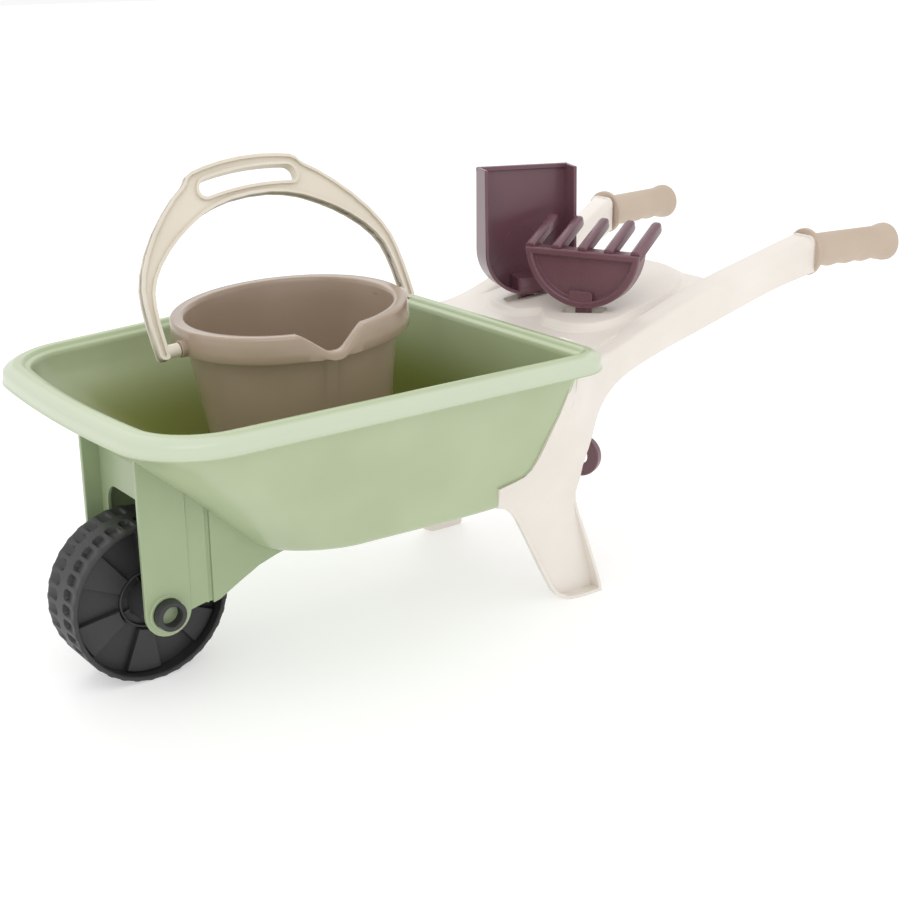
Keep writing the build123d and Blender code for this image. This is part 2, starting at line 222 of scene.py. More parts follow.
def cut_away(bm, cutters):
    """The shape less the cutters' shapes."""
    made = []
    for source in [bm] + cutters:
        bmesh.ops.recalc_face_normals(source, faces=source.faces)
        mesh = bpy.data.meshes.new("blank")
        source.to_mesh(mesh)
        obj = bpy.data.objects.new("blank", mesh)
        bpy.context.scene.collection.objects.link(obj)
        made.append(obj)
    for cutter in made[1:]:
        cut = made[0].modifiers.new("cut", "BOOLEAN")
        cut.operation = "DIFFERENCE"
        cut.solver = "EXACT"
        cut.use_self = True
        cut.object = cutter
    bpy.context.view_layer.update()
    result = bmesh.new()
    shape = bpy.data.meshes.new_from_object(made[0].evaluated_get(bpy.context.evaluated_depsgraph_get()))
    result.from_mesh(shape)
    for obj in made:
        bpy.data.objects.remove(obj)
    return result


def finish_piece(name, bm, material, body, nodes, edge=0.5, sharp=38.0, place=None):
    """Turns a drawing into a piece of the model with slightly rounded edges."""
    bmesh.ops.remove_doubles(bm, verts=bm.verts, dist=0.002)
    bmesh.ops.recalc_face_normals(bm, faces=bm.faces)
    if place:
        bmesh.ops.transform(bm, matrix=place, verts=bm.verts)
    bmesh.ops.transform(bm, matrix=to_frame, verts=bm.verts)
    mesh = bpy.data.meshes.new(name)
    bm.to_mesh(mesh)
    bm.free()
    mesh.shade_smooth()
    mesh.set_sharp_from_angle(angle=radians(sharp))
    piece = bpy.data.objects.new(name, mesh)
    bpy.context.scene.collection.objects.link(piece)
    if edge:
        soft = piece.modifiers.new("soft edges", "BEVEL")
        soft.width = edge * MM
        soft.segments = 2
        soft.limit_method = "ANGLE"
        soft.angle_limit = radians(sharp)
        soft.use_clamp_overlap = True
    mesh.materials.append(material)
    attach(piece, body)
    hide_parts(*nodes)
    return piece


# ---- materials -----------------------------------------------------------
def socket_group(name, inputs, outputs):
    """An empty node group with named sockets."""
    group = bpy.data.node_groups.new(name, "ShaderNodeTree")
    for label, kind, value in inputs:
        made = group.interface.new_socket(label, in_out="INPUT", socket_type=kind)
        made.default_value = value
    for label, kind in outputs:
        group.interface.new_socket(label, in_out="OUTPUT", socket_type=kind)
    return group, group.nodes.new("NodeGroupInput"), group.nodes.new("NodeGroupOutput")


def moulded_skin_group():
    """Flow clouds and fine grain on a moulded surface."""
    group, given, out = socket_group(
        "moulded_skin",
        [
            ("Vector", "NodeSocketVector", (0, 0, 0)),
            ("Shade", "NodeSocketColor", (0.5, 0.5, 0.5, 1)),
            ("Pale", "NodeSocketColor", (0.6, 0.6, 0.6, 1)),
            ("Cloud size", "NodeSocketFloat", 14.0),
            ("Grain size", "NodeSocketFloat", 900.0),
            ("Roughness", "NodeSocketFloat", 0.35),
            ("Spread", "NodeSocketFloat", 0.08),
        ],
        [("Colour", "NodeSocketColor"), ("Roughness", "NodeSocketFloat"), ("Height", "NodeSocketFloat")],
    )
    nodes, links = group.nodes, group.links
    cloud = nodes.new("ShaderNodeTexNoise")
    cloud.inputs["Detail"].default_value = 3.0
    cloud.inputs["Roughness"].default_value = 0.45
    links.new(given.outputs["Vector"], cloud.inputs["Vector"])
    links.new(given.outputs["Cloud size"], cloud.inputs["Scale"])
    band = nodes.new("ShaderNodeMapRange")
    band.inputs["From Min"].default_value = 0.35
    band.inputs["From Max"].default_value = 0.7
    links.new(cloud.outputs["Fac"], band.inputs["Value"])
    tint = nodes.new("ShaderNodeMix")
    tint.data_type = "RGBA"
    links.new(band.outputs["Result"], tint.inputs["Factor"])
    links.new(given.outputs["Shade"], tint.inputs["A"])
    links.new(given.outputs["Pale"], tint.inputs["B"])
    links.new(tint.outputs["Result"], out.inputs["Colour"])
    grain = nodes.new("ShaderNodeTexNoise")
    grain.inputs["Detail"].default_value = 2.0
    links.new(given.outputs["Vector"], grain.inputs["Vector"])
    links.new(given.outputs["Grain size"], grain.inputs["Scale"])
    links.new(grain.outputs["Fac"], out.inputs["Height"])
    swing = nodes.new("ShaderNodeMath")
    swing.operation = "MULTIPLY_ADD"
    links.new(cloud.outputs["Fac"], swing.inputs[0])
    links.new(given.outputs["Spread"], swing.inputs[1])
    links.new(given.outputs["Roughness"], swing.inputs[2])
    links.new(swing.outputs["Value"], out.inputs["Roughness"])
    return group


moulded_skin = moulded_skin_group()


def linear(red, green, blue):
    """A colour from its everyday 0 to 255 values."""
    def one(value):
        c = value / 255
        return c / 12.92 if c <= 0.04045 else ((c + 0.055) / 1.055) ** 2.4
    return (one(red), one(green), one(blue), 1.0)


def plastic(
    name, shade, pale, roughness, spread, grain_size, grain_depth, coat=0.0, coat_roughness=0.2,
    through=0.0,
):
    """A moulded plastic with soft flow clouds and a fine surface grain."""
    material = bpy.data.materials.new(name)
    material.use_nodes = True
    nodes, links = material.node_tree.nodes, material.node_tree.links
    shader = nodes["Principled BSDF"]
    where = nodes.new("ShaderNodeTexCoord")
    skin_node = nodes.new("ShaderNodeGroup")
    skin_node.node_tree = moulded_skin
    skin_node.inputs["Shade"].default_value = shade
    skin_node.inputs["Pale"].default_value = pale
    skin_node.inputs["Cloud size"].default_value = 16.0
    skin_node.inputs["Grain size"].default_value = grain_size
    skin_node.inputs["Roughness"].default_value = roughness
    skin_node.inputs["Spread"].default_value = spread
    links.new(where.outputs["Object"], skin_node.inputs["Vector"])
    links.new(skin_node.outputs["Colour"], shader.inputs["Base Color"])
    links.new(skin_node.outputs["Roughness"], shader.inputs["Roughness"])
    bump = nodes.new("ShaderNodeBump")
    bump.inputs["Strength"].default_value = 0.5
    bump.inputs["Distance"].default_value = grain_depth
    links.new(skin_node.outputs["Height"], bump.inputs["Height"])
    links.new(bump.outputs["Normal"], shader.inputs["Normal"])
    shader.inputs["Coat Weight"].default_value = coat
    shader.inputs["Coat Roughness"].default_value = coat_roughness
    shader.inputs["Subsurface Weight"].default_value = through
    shader.inputs["Subsurface Radius"].default_value = (0.004, 0.004, 0.003)
    shader.inputs["Subsurface Scale"].default_value = 1.0
    return material


tray_green = plastic(
    "tray_green", linear(171, 184, 146), linear(177, 190, 153), 0.27, 0.10, 700, 0.00004, 0.25,
)
# painted shade: a darker copy of the tray's green for the fork's cheeks, which sit in more shade than the tub's
# sides
fork_green_painted_shade = plastic(
    "fork_green_painted_shade", linear(157, 172, 134), linear(163, 178, 141), 0.27, 0.10, 700, 0.00004, 0.25,
)
frame_cream = plastic(
    "frame_cream", linear(228, 221, 212), linear(235, 228, 220), 0.34, 0.10, 900, 0.00003, 0.1,
)
grip_tan = plastic("grip_tan", linear(188, 169, 150), linear(196, 178, 160), 0.48, 0.10, 1500, 0.00008)
wheel_black = plastic("wheel_black", linear(42, 42, 43), linear(56, 56, 57), 0.42, 0.14, 1300, 0.00016)
bucket_taupe = plastic(
    "bucket_taupe", linear(160, 140, 121), linear(167, 148, 129), 0.2, 0.08, 600, 0.00003, 0.25,
)
bail_cream = plastic(
    "bail_cream", linear(216, 207, 190), linear(223, 214, 199), 0.30, 0.10, 800, 0.00003, 0.15,
)
tool_plum = plastic("tool_plum", linear(104, 68, 78), linear(112, 75, 85), 0.24, 0.08, 600, 0.00003, 0.25)


# ---- tray ----------------------------------------------------------------
wall = 3.0
rim_front, rim_rear = tray_low.x + 11, tray_high.x
rim_half_front, rim_half_rear = 158.0, tray_high.y + 2.1
rim_level, rim_slope = 218.9, 0.033
floor_level, floor_slope = 87.3, 0.07
fork_front, fork_rear, fork_half_width, fork_wall = -18.0, 20.0, 50.0, 4.0
axle_level = (wheel_low.z + wheel_high.z) / 2 / MM
wheel_radius = (wheel_high.z - wheel_low.z) / 2 / MM


def tub_painted_light_group():
    """How deep inside the tub a spot is, for painted shade, and how far it is on the rim's outer band, for a
    painted highlight, both 0 to 1.
    """
    group, given, out = socket_group(
        "tub_painted_light", [("Vector", "NodeSocketVector", (0, 0, 0)), ("Normal", "NodeSocketVector", (0, 0, 1))],
        [("Inside", "NodeSocketFloat"), ("Painted highlight", "NodeSocketFloat")],
    )
    nodes, links = group.nodes, group.links

    def step(source, low, high):
        ramp = nodes.new("ShaderNodeMapRange")
        ramp.interpolation_type = "SMOOTHSTEP"
        ramp.inputs["From Min"].default_value = low
        ramp.inputs["From Max"].default_value = high
        links.new(source, ramp.inputs["Value"])
        return ramp.outputs["Result"]

    def times(a, b):
        node = nodes.new("ShaderNodeMath")
        node.operation = "MULTIPLY"
        links.new(a, node.inputs[0])
        links.new(b, node.inputs[1])
        return node.outputs["Value"]

    def vector_math(operation, a, value=None, b=None):
        node = nodes.new("ShaderNodeVectorMath")
        node.operation = operation
        links.new(a, node.inputs[0])
        if b is None:
            node.inputs[1].default_value = value
        else:
            links.new(b, node.inputs[1])
        return node.outputs

    centre_x = (tray_low.x + tray_high.x) / 2 * MM + axle_x
    off = vector_math("SUBTRACT", given.outputs["Vector"], (centre_x, 0, 0))["Vector"]
    flat = vector_math("MULTIPLY", off, (1, 1, 0))["Vector"]
    outward = vector_math("DOT_PRODUCT", flat, b=given.outputs["Normal"])["Value"]
    level = vector_math("DOT_PRODUCT", given.outputs["Vector"], (-rim_slope, 0, 1))["Value"]
    # painted shade: inward-facing surfaces low in the tub are darkened towards olive
    painted_shade_mask = times(step(outward, -0.004, -0.012), step(level, 0.232, 0.165))
    links.new(painted_shade_mask, out.inputs["Inside"])
    # painted highlight: the rim's outward-facing band is paled where the glossy band would reflect the lamps
    base = rim_level * MM - rim_slope * axle_x
    links.new(
        times(step(outward, 0.05, 0.09), step(level, base + 0.0004, base + 0.0018)),
        out.inputs["Painted highlight"],
    )
    return group


def paint_light_into_tub(material, painted_inside_shade, painted_band_highlight):
    """Paints shade into the green inside the tub, and paints a pale highlight on the rim's outer band."""
    nodes, links = material.node_tree.nodes, material.node_tree.links
    shader = nodes["Principled BSDF"]
    where = nodes.new("ShaderNodeTexCoord")
    tone = nodes.new("ShaderNodeGroup")
    tone.node_tree = tub_painted_light_group()
    links.new(where.outputs["Object"], tone.inputs["Vector"])
    links.new(where.outputs["Normal"], tone.inputs["Normal"])
    colour = shader.inputs["Base Color"].links[0].from_socket
    # blends in the painted shade inside the tub, then the painted highlight on the rim's band
    for label, shade, amount in (("Inside", painted_inside_shade, 0.9), ("Painted highlight", painted_band_highlight, 0.75)):
        share = nodes.new("ShaderNodeMath")
        share.operation = "MULTIPLY"
        share.inputs[1].default_value = amount
        links.new(tone.outputs[label], share.inputs[0])
        blend = nodes.new("ShaderNodeMix")
        blend.data_type = "RGBA"
        links.new(share.outputs["Value"], blend.inputs["Factor"])
        links.new(colour, blend.inputs["A"])
        blend.inputs["B"].default_value = shade
        colour = blend.outputs["Result"]
    links.new(colour, shader.inputs["Base Color"])


# painted shade deep inside the tub (olive) and a painted highlight on the rim's outer band (pale green)
paint_light_into_tub(tray_green, linear(130, 138, 58), linear(203, 211, 190))


def tray_loop(front, rear, half_front, half_rear, bow, corner_front, corner_rear, level, slope):
    """One closed line round the tray at a sloping level."""
    corners = [(front, -half_front), (rear, -half_rear), (rear, half_rear), (front, half_front)]
    radii = [corner_front, corner_rear, corner_rear, corner_front]
    places = []
    for x, y in rounded(corners, radii, steps=12, between=9):
        near_front = max(0.0, 1 - (x - front) / 140)
        x -= bow * (1 - min(abs(y) / half_front, 1) ** 2) * near_front
        places.append(Vector((x, y, level + slope * x)))
    return places


def rim_loop(inset, height):
    """A line round the rim, inset from its outer edge and above its underside."""
    return tray_loop(
        rim_front + inset, rim_rear - inset, rim_half_front - inset, rim_half_rear - inset, 11.0,
        max(60.0 - inset, 8), max(27.0 - inset * 0.9, 6), rim_level + height, rim_slope,
    )


def tub_loop(height, inset, foot_round):
    """A line round the tub's wall at a height above its floor, 0 to 1 up to the rim."""
    rise = height / (rim_level - floor_level)
    front = through([(0, 98.0), (0.45, 40.0), (0.78, -7.0), (0.9, -20.5), (1, -26.7)], rise)
    rear = mix(309.5, 310.5, rise)
    half_front = through([(0, 90.0), (0.45, 110.0), (0.78, 124.0), (0.9, 133.0), (1, 139.0)], rise)
    half_rear = through([(0, 103.5), (0.45, 134.0), (0.78, 155.6), (0.9, 162.6), (1, 167.6)], rise)
    heel = 6.0
    if height < heel:
        rear -= heel - sqrt(heel * heel - (heel - height) ** 2)
    if height < foot_round:
        tuck = foot_round - sqrt(foot_round**2 - (foot_round - height) ** 2)
        front += tuck * 1.4
        half_front -= tuck
        half_rear -= tuck
    places = tray_loop(
        front + inset, rear - inset, half_front - inset, half_rear - inset, mix(14.0, 11.0, rise),
        mix(52.0, 44.0, rise) - inset, mix(5.5, 9.0, rise) - inset * 0.5,
        floor_level + height, mix(floor_slope, rim_slope, rise),
    )
    if inset == 0:
        for place in places:
            place.z -= 7.5 * smooth(95, 285, place.x) * (1 - smooth(0, 60, height))
    return places


RIM_SECTION = [
    (0.0, 0.3), (0.0, 1.3), (0.8, 1.9), (0.8, 5.0), (0.9, 8.4), (1.5, 10.0), (3.0, 11.4), (5.6, 13.0),
    (8.6, 14.4),
    (11.0, 15.0), (13.4, 15.0), (15.4, 14.3), (16.6, 13.0), (17.2, 12.0), (18.4, 11.5), (20.4, 11.0),
    (21.6, 9.8),
    (22.0, 6.5),
]


def tray_shell(bm):
    """The tub and its rolled rim as one closed wall."""
    heights = [0, 0.5, 1.6, 3.6, 6.5, 11, 18, 28, 42, 56, 70, 84, 96, 106, 114, 121, 127]
    foot = 8.0
    rings = [tub_loop(h, 0, foot) for h in heights]
    neck = 19.0
    rings += [
        rim_loop(neck, 0), rim_loop(neck, 11.5), rim_loop(3, 11.5), rim_loop(3, 0.1),
        rim_loop(0.2, 0.1),
    ]
    rings += [rim_loop(inset, height) for inset, height in RIM_SECTION]
    rings += [tub_loop(h, wall, foot) for h in reversed(heights)][:-1]
    for places in rings[-len(heights) + 1:]:
        for place in places:
            floor = floor_level + floor_slope * place.x + wall
            place.z = max(place.z, floor + 0.02 * (place.z - floor + wall))
    rings.append([place + Vector((0, 0, wall)) for place in tub_loop(0, wall + 1, foot)])
    skin(bm, rings)


def wall_line(z):
    """Where the tub's front wall crosses the fork at a level."""
    steps = [
        (94.0, 104.0), (112.0, 86.0), (140.0, 56.0), (170.0, 20.0), (190.0, -4.0), (207.0, -15.5),
        (222.0, -24.0),
    ]
    return through(steps, z)


def fork(bm):
    """The cheeks round the wheel with their webs; the panel between them is drawn by fork_panel."""
    middle = (fork_front + fork_rear) / 2
    lobe_radius = (fork_rear - fork_front) / 2
    hole_radius = 12.1
    lobe = [
        (middle + lobe_radius * cos(radians(a)), axle_level - lobe_radius * sin(radians(a)))
        for a in range(0, 181, 12)
    ]
    top = [(wall_line(z) + 2.0, z) for z in (205, 198, 190, 182, 174, 167)]
    cheek = lobe + [(fork_front, 110), (fork_front, 160), (fork_front, 205)] + top
    cheek = [p for p in cheek if p[0] <= fork_rear + 0.1] + [(fork_rear, 164), (fork_rear, 110)]
    side_plate(bm, cheek, -fork_half_width, fork_wall - fork_half_width)
    pin_ring = [
        [Vector((r * cos(radians(a)), y, axle_level + r * sin(radians(a)))) for a in range(0, 360, 10)]
        for r, y in (
            (hole_radius, -fork_half_width + 0.5), (hole_radius, -fork_half_width - 0.7),
            (hole_radius + 2.2, -fork_half_width - 0.7), (hole_radius + 3.0, -fork_half_width + 0.5),
        )
    ]
    skin(bm, pin_ring, joined=True)
    slab_top = [(wall_line(z) + 2.0, z) for z in (120, 140, 155, 168)]
    step = [(fork_rear - 1, 62), (33, 65), (36, 64)]
    side_plate(bm, step + [(36, 152), (fork_rear - 1, 166)], 1.0 - fork_half_width, 4.0 - fork_half_width)
    web = [(40, 62.5), (46, 64), (60, 72), (81, 83), (96, 88), (112, 92), (116, 96), (104, 97)]
    side_plate(bm, web + slab_top[:3] + [(40, 153)], 1.6 - fork_half_width, 4.6 - fork_half_width)
    side_plate(
        bm, [(35.5, 64), (41, 64), (41, 152), (35.5, 154)], 3.2 - fork_half_width,
        5.0 - fork_half_width,
    )


def fork_panel(bm):
    """The panel between the cheeks, open over the wheel."""
    inner = fork_half_width - fork_wall + 0.5
    low, high = axle_level + 20, 187.0
    opening = 2 * wheel_radius + 17
    half = 36.0
    corners = [
        (-inner, low), (-half, low), (-half, opening), (half, opening), (half, low), (inner, low),
        (inner, high),
        (-inner, high),
    ]
    outline = rounded(corners, [0, 0, 16, 16, 0, 0, 0, 0], steps=8)
    skin(bm, [[Vector((x, y, z)) for y, z in outline] for x in (-4.0, -1.0)])


def make_tray():
    bm = bmesh.new()
    tray_shell(bm)
    finish_piece("tray_tub", bm, tray_green, "barrow", ["tray"], edge=0.35, sharp=50)
    bm = bmesh.new()
    fork(bm)
    mirrored_copy(bm)
    fork_panel(bm)
    finish_piece("tray_fork", bm, fork_green_painted_shade, "barrow", ["tray"], edge=0.7)


# ---- frame ---------------------------------------------------------------
grip_x, grip_half_width, grip_level, grip_splay = 600.0, 132.5, 280.0, radians(7.2)
deck_level, deck_slope, deck_hole_x, deck_hole_y = 236.0, 0.22, 422.0, 40.0
deck_step = 9.0
shovel_turn, rake_turn = radians(-20), radians(-65)
arm_outer = [
    (300, 166), (330, 146), (355, 130.5), (396, 121.5), (438, 119), (480, 121), (521, 126.5),
    (563, 136), (600, 147.5),
]
arm_top = [
    (300, 226), (330, 225), (345, 221), (362, 219), (396, 223.5), (438, 238), (480, 254), (521, 267.5),
    (563, 282), (600, 296.5),
]
arm_low = [
    (300, 150), (330, 158), (355, 176), (373, 186), (386, 193.6), (401, 199.6), (419, 205.2),
    (445, 212.6), (483, 223.6),
    (521, 236.5), (563, 252.5), (600, 264.5),
]


def outer_face(x, z):
    """How far the side of the frame stands from the middle plane."""
    leaning = 99.0 + 0.52 * max(z - 92.0, 0.0) * smooth(80, 112, z)
    return softer(leaning, through(arm_outer, x), 9.0)


def arm_section(x):
    """One section of an arm: an upside-down channel, from its outer lower edge round and back."""
    top = through(arm_top, x)
    low = through(arm_low, x)
    wide = mix(34.0, 29.0, smooth(330, 480, x))
    bend = 7.0
    inner = -outer_face(x, top - bend) + wide

    def edge(z):
        return -outer_face(x, z)

    places = [(edge(mix(low, top - bend, k / 6)), mix(low, top - bend, k / 6)) for k in range(7)]
    corner = edge(top - bend)
    for k in range(1, 6):
        a = pi / 2 * k / 5
        places.append((corner + bend * (1 - cos(a)), top - bend + bend * sin(a)))
    for k in range(6):
        a = pi / 2 * k / 5
        places.append((inner - bend + bend * sin(a), top - bend + bend * cos(a)))
    places += [(inner, mix(top - bend, low, k / 3)) for k in range(1, 4)]
    places += [
        (inner - wall, low), (inner - wall, top - wall - 1), (inner - bend, top - wall),
        (corner + bend, top - wall),
    ]
    places += [
        (edge(mix(top - bend, low, k / 4)) + wall, mix(top - bend - 1, low, k / 4))
        for k in range(5)
    ]
    return [Vector((x, y, z)) for y, z in places]


def grip_place(side):
    """From a grip's own frame, flange first, to its place at the end of an arm."""
    splay = Matrix.Rotation(side * grip_splay, 4, "Z")
    return Matrix.Translation((grip_x, side * grip_half_width, grip_level)) @ splay


def arm(bm):
    """An arm from the shoulder behind the tray to its grip, and the cap at its end."""
    count = 34
    start = 313.0
    rings = [arm_section(mix(start, grip_x - 0.6, k / count)) for k in range(count + 1)]
    skin(bm, rings)
    x = grip_x - 0.6
    top, low = through(arm_top, x), through(arm_low, x)
    outer, inner = -outer_face(x, grip_level), -outer_face(x, grip_level) + 29
    end = rounded(
        [
            (outer + 0.4, low + 0.4), (inner - 0.4, low + 0.4), (inner - 0.4, top - 0.4),
            (outer + 0.4, top - 0.4),
        ],
        [5, 5, 7, 7], 5,
    )
    skin(bm, [[Vector((px, y, z)) for y, z in end] for px in (x - 4, x - 0.2)])
    turn = grip_place(-1)
    pin(bm, turn @ Vector((-3, 0, 0)), turn @ Vector((80, 0, 0)), 10.4, 32)


def leg_outline():
    """The leg and shoulder seen from the side, up into the arm."""
    front = [
        (277, 101), (284, 98.6), (290, 95.2), (295, 91), (299.5, 84.6), (309, 66.5), (318, 48.9),
        (327, 31.5),
    ]
    front += [(336.6, 14.1), (340, 8.6), (344.4, 4.3), (350, 1.6)]
    foot = [(354, 0.3), (362, 0.2), (370, 0.2), (379, 0.2), (386.5, 0.4), (388.6, 3)]
    rear = [(387, 11), (383, 26), (378.6, 41), (374.6, 55), (371, 67), (367.4, 79), (365, 88)]
    arm_under = [
        (364, 97), (360.4, 112), (356.8, 126), (355, 140), (355.2, 151), (356.6, 161), (359.8, 169),
        (364.6, 176.5),
        (373.7, 185.6), (386.4, 193.8), (401, 199.8),
    ]
    inside_arm = [(401, 207), (380, 203), (355, 198), (335, 196), (318, 200), (315, 229), (302, 228.5)]
    seam = [
        (302, 212), (302.4, 190), (301.6, 176), (300.6, 156), (299.4, 145), (296.8, 136), (292, 130),
        (284, 127.2),
        (268.5, 123.2),
    ]
    return front + foot + rear + arm_under + inside_arm + seam


def leg_panel(bm):
    """The panel with its leg, following the tray's leaning side above the waist."""
    outline = leg_outline()
    verts = ring(bm, [Vector((x, 0, z)) for x, z in outline])
    bmesh.ops.edgeloop_fill(bm, edges=round_edges(bm, verts))
    for level in range(12, 205, 12):
        bmesh.ops.bisect_plane(
            bm, geom=bm.verts[:] + bm.edges[:] + bm.faces[:], plane_co=(0, 0, level),
            plane_no=(0, 0, 1), dist=0.01
        )
    for across in range(288, 402, 12):
        bmesh.ops.bisect_plane(
            bm, geom=bm.verts[:] + bm.edges[:] + bm.faces[:], plane_co=(across, 0, 0),
            plane_no=(1, 0, 0), dist=0.01
        )
    made = bmesh.ops.extrude_face_region(bm, geom=bm.faces[:])["geom"]
    back = {g for g in made if isinstance(g, bmesh.types.BMVert)}
    for vert in bm.verts:
        skin_depth = 3.2 if vert in back else 0.06
        vert.co.y = -outer_face(vert.co.x, vert.co.z) + skin_depth


def leg_flanges(bm):
    """The flanges that stand out round the leg below its waist."""
    def depth(z):
        return 10.5 * smooth(0, 1, 1 - z / 92.0) ** 0.8

    front = [
        (299.5, 84.6), (309, 66.5), (318, 48.9), (327, 31.5), (336.6, 14.1), (340, 8.6), (344.4, 4.3),
        (350, 1.4),
    ]
    front += [(354, 0)]
    foot = [(362, 0), (370, 0), (379, 0), (389, 0)]
    rear = [(387.4, 9), (384.4, 20), (380.4, 34), (376, 50), (372, 64), (368, 77), (365.2, 88)]
    line = [Vector(p) for p in front + foot + rear]
    rings = []
    for i, here in enumerate(line):
        ahead = line[min(i + 1, len(line) - 1)] - line[max(i - 1, 0)]
        inward = Vector((-ahead.y, ahead.x)).normalized() * 3.0
        if i == len(front) + len(foot) - 1:
            inward = Vector((-3.6, 3.2))
        stand = depth(here.y) * mix(0.22, 1.0, smooth(len(front) - 5, len(front) + 1, i))
        y0, y1 = -98.0, -99.0 - stand
        rings.append([
            Vector((here.x, y0, here.y)), Vector((here.x, y1, here.y)),
            Vector((here.x + inward.x, y1, here.y + inward.y)), Vector(
                (here.x + inward.x, y0, here.y + inward.y)
            ),
        ])
    skin(bm, rings)


def snap_tabs(bm):
    """Small hooks behind the tray's rear rim."""
    for middle in (-119.0, 119.0):
        hook = rounded([(330.2, 212), (335.4, 212), (336.2, 240), (331.0, 241)], [0, 0, 2, 2], 3)
        side_plate(bm, hook, middle - 6, middle + 6)


def deck_place(x, y, height):
    return Vector((x, y, deck_level - deck_step + deck_slope * (x - deck_hole_x) + height))


def deck_lobes(inset):
    """The raised tool block's outline, with its two lobes at the front."""
    front, rear, half = 393.5 + inset, 536.5 - inset, 82.0 - inset
    corners = [
        (front, -half), (rear, -half), (rear, half), (front, half), (front, 19), (front + 14, 0),
        (front, -19),
    ]
    radii = [38 - inset, 64, 64, 38 - inset, 22, 7, 22]
    return rounded(corners, radii, steps=8)


def make_deck():
    """The plate between the arms with the raised block for the two tools."""
    bm = bmesh.new()
    front, rear = 331.0, 536.0
    half = [(front, 124.0), (355, 108.0), (396, 99), (470, 96), (rear, 97)]
    stops = [front, 343, 355, 370, 396, 430, 470, 505]
    right = [(x, -through(half, x)) for x in stops]
    back = [
        (rear - 30, -96), (rear - 12, -93), (rear - 3, -84), (rear, -68), (rear, 0), (rear, 68),
        (rear - 3, 84), (rear - 12, 93), (rear - 30, 96),
    ]
    plate = right + back + [(x, -y) for x, y in reversed(right)]
    skin(bm, [[deck_place(x, y, h) for x, y in plate] for h in (-9.0, 3.4)])
    low = [(mix(440, x, 0.975), y * 0.965) for x, y in plate]
    pocket = bmesh.new()
    skin(pocket, [[deck_place(x, y, h) for x, y in low] for h in (-20.0, -3.0)])
    raised = bmesh.new()
    steps = [
        (-5.0, 2.0), (-4.2, 3.5), (-2.4, 4.0), (-0.6, 5.2), (0.4, 6.6), (1.2, 8.0), (2.2, 8.7),
        (3.6, deck_step),
    ]
    skin(raised, [[deck_place(p.x, p.y, h) for p in deck_lobes(inset)] for inset, h in steps])
    holes = []
    for side in (-1, 1):
        hole = bmesh.new()
        turn = Matrix.Rotation(shovel_turn if side > 0 else rake_turn, 4, "Z")
        room = rounded([(-20.2, -5.7), (20.2, -5.7), (20.2, 5.7), (-20.2, 5.7)], [2.5] * 4, 4)
        centre = Vector((deck_hole_x, side * deck_hole_y, 0))
        skin(hole, [[centre + turn @ Vector((p.x, p.y, z)) for p in room] for z in (150, 300)])
        holes.append(hole)
    plate_cut = cut_away(bm, [pocket] + holes)
    block_cut = cut_away(raised, holes)
    finish_piece("frame_deck_plate", plate_cut, frame_cream, "barrow", ["frame"], edge=0.6)
    finish_piece(
        "frame_deck_block", block_cut, frame_cream, "barrow", ["frame"], edge=0.5,
        sharp=42,
    )


def make_frame():
    bm = bmesh.new()
    leg_panel(bm)
    mirrored_copy(bm)
    finish_piece(
        "frame_leg_panels", bm, frame_cream, "barrow", ["frame"], edge=0.4, sharp=48,
    )
    bm = bmesh.new()
    arm(bm)
    leg_flanges(bm)
    mirrored_copy(bm)
    snap_tabs(bm)
    top = deck_level - deck_step + deck_slope * (331 - deck_hole_x)
    skin(bm, [
        [
            Vector((x, y, z))
            for y, z in ((-104, 128), (104, 128), (118, 170), (126, top - 1), (-126, top - 1), (-118, 170))
        ]
        for x in (312.0, 315.0)
    ])
    skin(bm, [
        [Vector((x, y, z)) for x, z in ((312, top - 4), (340, top - 4), (340, top + 1.8), (312, top - 1))]
        for y in (-126.0, 126.0)
    ])
    finish_piece("frame_arms", bm, frame_cream, "barrow", ["frame"], edge=0.6, sharp=44)
    make_deck()


# ---- wheel ---------------------------------------------------------------
def tyre(bm):
    """The tyre with two rows of pockets pressed into its tread."""
    pockets, per_pocket = 34, 8
    edge = wheel_radius - 4.5
    profile = [(edge, -12.0), (edge + 0.3, -24.0), (edge + 1.2, -25.0), (wheel_radius - 1.2, -25.0)]
    profile += [(wheel_radius - 0.3, -24.4), (wheel_radius, -23.4), (wheel_radius, -21.5)]
    profile += [(wheel_radius, -y) for y in (18.0, 14.0, 10.0, 8.0, 6.6, 5.8, 5.0, 4.0)]
    profile += [(out, -along) for out, along in reversed(profile)]
    verts = turned(bm, profile, Vector((0, 1, 0)), Vector((0, 0, axle_level)), pockets * per_pocket)
    for vert in verts:
        out = Vector((vert.co.x, 0, vert.co.z - axle_level))
        if out.length < wheel_radius - 1.5 or abs(vert.co.y) < 4.9:
            continue
        turn = Vector((1, 0)).angle_signed(Vector((out.x, out.z)), 0) / (2 * pi) * pockets
        phase = (turn + (0.5 if vert.co.y > 0 else 0.0)) % 1.0
        nose = smooth(4.8, 8.0, abs(vert.co.y))
        side = abs(phase - 0.5) * 2
        wide = mix(0.22, 0.52, nose)
        slope = mix(3.4, 0.5, smooth(7.0, 24.0, abs(vert.co.y)))
        depth = slope * (1 - smooth(wide - 0.05, wide + 0.1, side)) * smooth(4.9, 6.4, abs(vert.co.y))
        vert.co -= out.normalized() * depth


